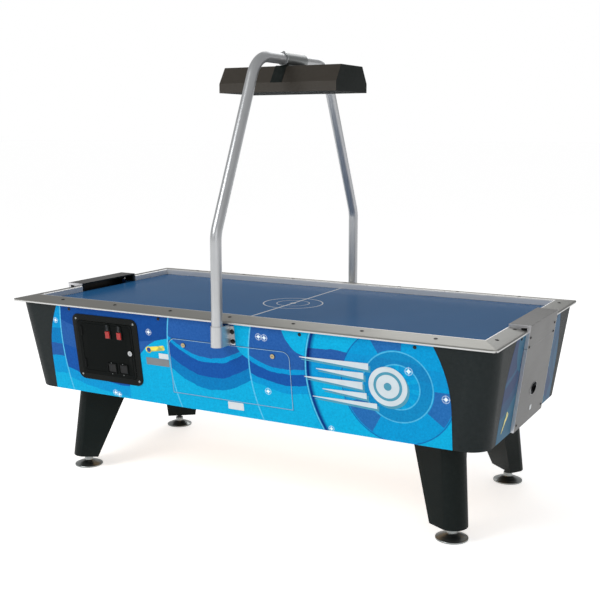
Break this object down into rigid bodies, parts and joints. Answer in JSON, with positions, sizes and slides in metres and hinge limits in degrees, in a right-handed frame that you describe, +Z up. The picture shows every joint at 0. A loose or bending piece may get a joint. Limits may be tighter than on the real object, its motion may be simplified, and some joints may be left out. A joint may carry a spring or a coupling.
{
  "type": "air hockey table",
  "caption": "Coin-operated air hockey table: tapered blue cabinet, aluminium rails, steel goal ends, tapered legs on levelling feet and a lamp hung on a tube arch.",
  "frame": {"origin": "on the floor, under the middle of the table", "axes": "+X along the table to its right end, +Y across it away from the coin door side, +Z up"},
  "size_m": [2.5582, 1.453, 2.119],
  "materials": {
    "blue_laminate": "printed blue laminate with a wave graphic, semi-gloss",
    "black_laminate": "black textured laminate",
    "black_steel": "black powder coat",
    "rail_aluminium": "satin extruded aluminium",
    "stainless": "brushed stainless sheet",
    "silver_paint": "silver-grey paint, semi-gloss",
    "playing_surface": "glossy blue laminate with white lines and air holes",
    "plywood": "bare plywood",
    "zinc": "zinc-plated steel",
    "chrome": "polished chrome",
    "brass": "polished brass",
    "red_lens": "translucent red plastic",
    "dark_metal": "dark grey paint",
    "hood_paint": "dark brown-black textured paint",
    "opal": "white opal acrylic",
    "mechanism": "grey moulded and pressed casing",
    "impeller": "cast and pressed aluminium",
    "galvanised": "galvanised sheet"
  },
  "bodies": {
    "root": {"front_panel": "blue_laminate", "rear_panel": "blue_laminate", "left_end_panel": "blue_laminate", "right_end_panel": "blue_laminate", "corner_front_left": "black_laminate", "corner_front_right": "black_laminate", "corner_rear_left": "black_laminate", "corner_rear_right": "black_laminate", "cabinet_floor": "plywood", "air_plenum": "plywood", "playfield": "playing_surface", "front_rail": "rail_aluminium", "rear_rail": "rail_aluminium", "end_rail_left_front": "rail_aluminium", "end_rail_left_rear": "rail_aluminium", "end_rail_right_front": "rail_aluminium", "end_rail_right_rear": "rail_aluminium", "goal_plate_left": "stainless", "goal_plate_right": "stainless", "puck_chute_left": "galvanised", "puck_chute_right": "galvanised", "cash_box": "galvanised", "blower_housing": "galvanised", "air_duct": "galvanised", "power_supply": "mechanism", "leg_front_left": "black_steel", "leg_front_right": "black_steel", "leg_rear_left": "black_steel", "leg_rear_right": "black_steel", "coin_door_frame": "black_steel", "power_inlet": "black_steel", "blower_motor": "dark_metal", "arch_front": "silver_paint", "arch_rear": "silver_paint", "arch_bracket_front": "silver_paint", "arch_bracket_rear": "silver_paint", "arch_sleeve": "silver_paint", "lamp_hood": "hood_paint", "lamp_diffuser": "opal", "lamp_tube_front": "opal", "lamp_tube_rear": "opal"},
    "coin_door": {"coin_door": "black_steel", "coin_mechanism": "mechanism"},
    "coin_door_lock": {"coin_door_lock": "chrome"},
    "reject_button_left": {"reject_button_left": "red_lens"},
    "reject_button_right": {"reject_button_right": "red_lens"},
    "return_flap_left": {"return_flap_left": "black_steel"},
    "return_flap_right": {"return_flap_right": "black_steel"},
    "access_door": {"access_door": "blue_laminate"},
    "access_lock_left": {"access_lock_left": "brass"},
    "access_lock_right": {"access_lock_right": "brass"},
    "blower_rotor": {"blower_impeller": "impeller"},
    "foot_front_left": {"foot_stud_front_left": "zinc", "foot_pad_front_left": "zinc"},
    "foot_front_right": {"foot_stud_front_right": "zinc", "foot_pad_front_right": "zinc"},
    "foot_rear_left": {"foot_stud_rear_left": "zinc", "foot_pad_rear_left": "zinc"},
    "foot_rear_right": {"foot_stud_rear_right": "zinc", "foot_pad_rear_right": "zinc"}
  },
  "joints": [
    {"name": "coin_door_hinge", "type": "hinge", "parent": "root", "child": "coin_door", "pos_m": [-0.866, -0.6134, 0.69543], "axis": [0, 0.1417, -0.9899], "range_deg": [0, 105]},
    {"name": "coin_door_lock_turn", "type": "hinge", "parent": "coin_door", "child": "coin_door_lock", "pos_m": [-0.557, -0.60838, 0.69211], "axis": [0, 0.9899, 0.1417], "range_deg": [0, 90]},
    {"name": "access_door_hinge", "type": "hinge", "parent": "root", "child": "access_door", "pos_m": [0, -0.58414, 0.52284], "axis": [1, 0, 0], "range_deg": [0, 100]},
    {"name": "access_lock_left_turn", "type": "hinge", "parent": "access_door", "child": "access_lock_left", "pos_m": [-0.24, -0.61915, 0.76734], "axis": [0, -0.9899, -0.1417], "range_deg": [0, 90]},
    {"name": "access_lock_right_turn", "type": "hinge", "parent": "access_door", "child": "access_lock_right", "pos_m": [0.24, -0.61915, 0.76734], "axis": [0, 0.9899, 0.1417], "range_deg": [0, 90]},
    {"name": "blower_spin", "type": "hinge", "parent": "root", "child": "blower_rotor", "pos_m": [0, 0.06, 0.55], "axis": [0, 0, 1], "continuous": true},
    {"name": "reject_button_left_press", "type": "slide", "parent": "coin_door", "child": "reject_button_left", "axis": [0, 0.9899, 0.1417], "range_m": [0, 0.005], "stiffness_N_per_m": 300, "springref_m": -0.003},
    {"name": "return_flap_left_swing", "type": "hinge", "parent": "coin_door", "child": "return_flap_left", "pos_m": [-0.681, -0.60192, 0.62232], "axis": [1, 0, 0], "range_deg": [0, 55]},
    {"name": "reject_button_right_press", "type": "slide", "parent": "coin_door", "child": "reject_button_right", "axis": [0, 0.9899, 0.1417], "range_m": [0, 0.005], "stiffness_N_per_m": 300, "springref_m": -0.003},
    {"name": "return_flap_right_swing", "type": "hinge", "parent": "coin_door", "child": "return_flap_right", "pos_m": [-0.611, -0.60192, 0.62232], "axis": [1, 0, 0], "range_deg": [0, 55]},
    {"name": "foot_front_left_height", "type": "slide", "parent": "root", "child": "foot_front_left", "axis": [0, 0, -1], "range_m": [0, 0.02]},
    {"name": "foot_front_right_height", "type": "slide", "parent": "root", "child": "foot_front_right", "axis": [0, 0, -1], "range_m": [0, 0.02]},
    {"name": "foot_rear_left_height", "type": "slide", "parent": "root", "child": "foot_rear_left", "axis": [0, 0, -1], "range_m": [0, 0.02]},
    {"name": "foot_rear_right_height", "type": "slide", "parent": "root", "child": "foot_rear_right", "axis": [0, 0, -1], "range_m": [0, 0.02]}
  ]
}
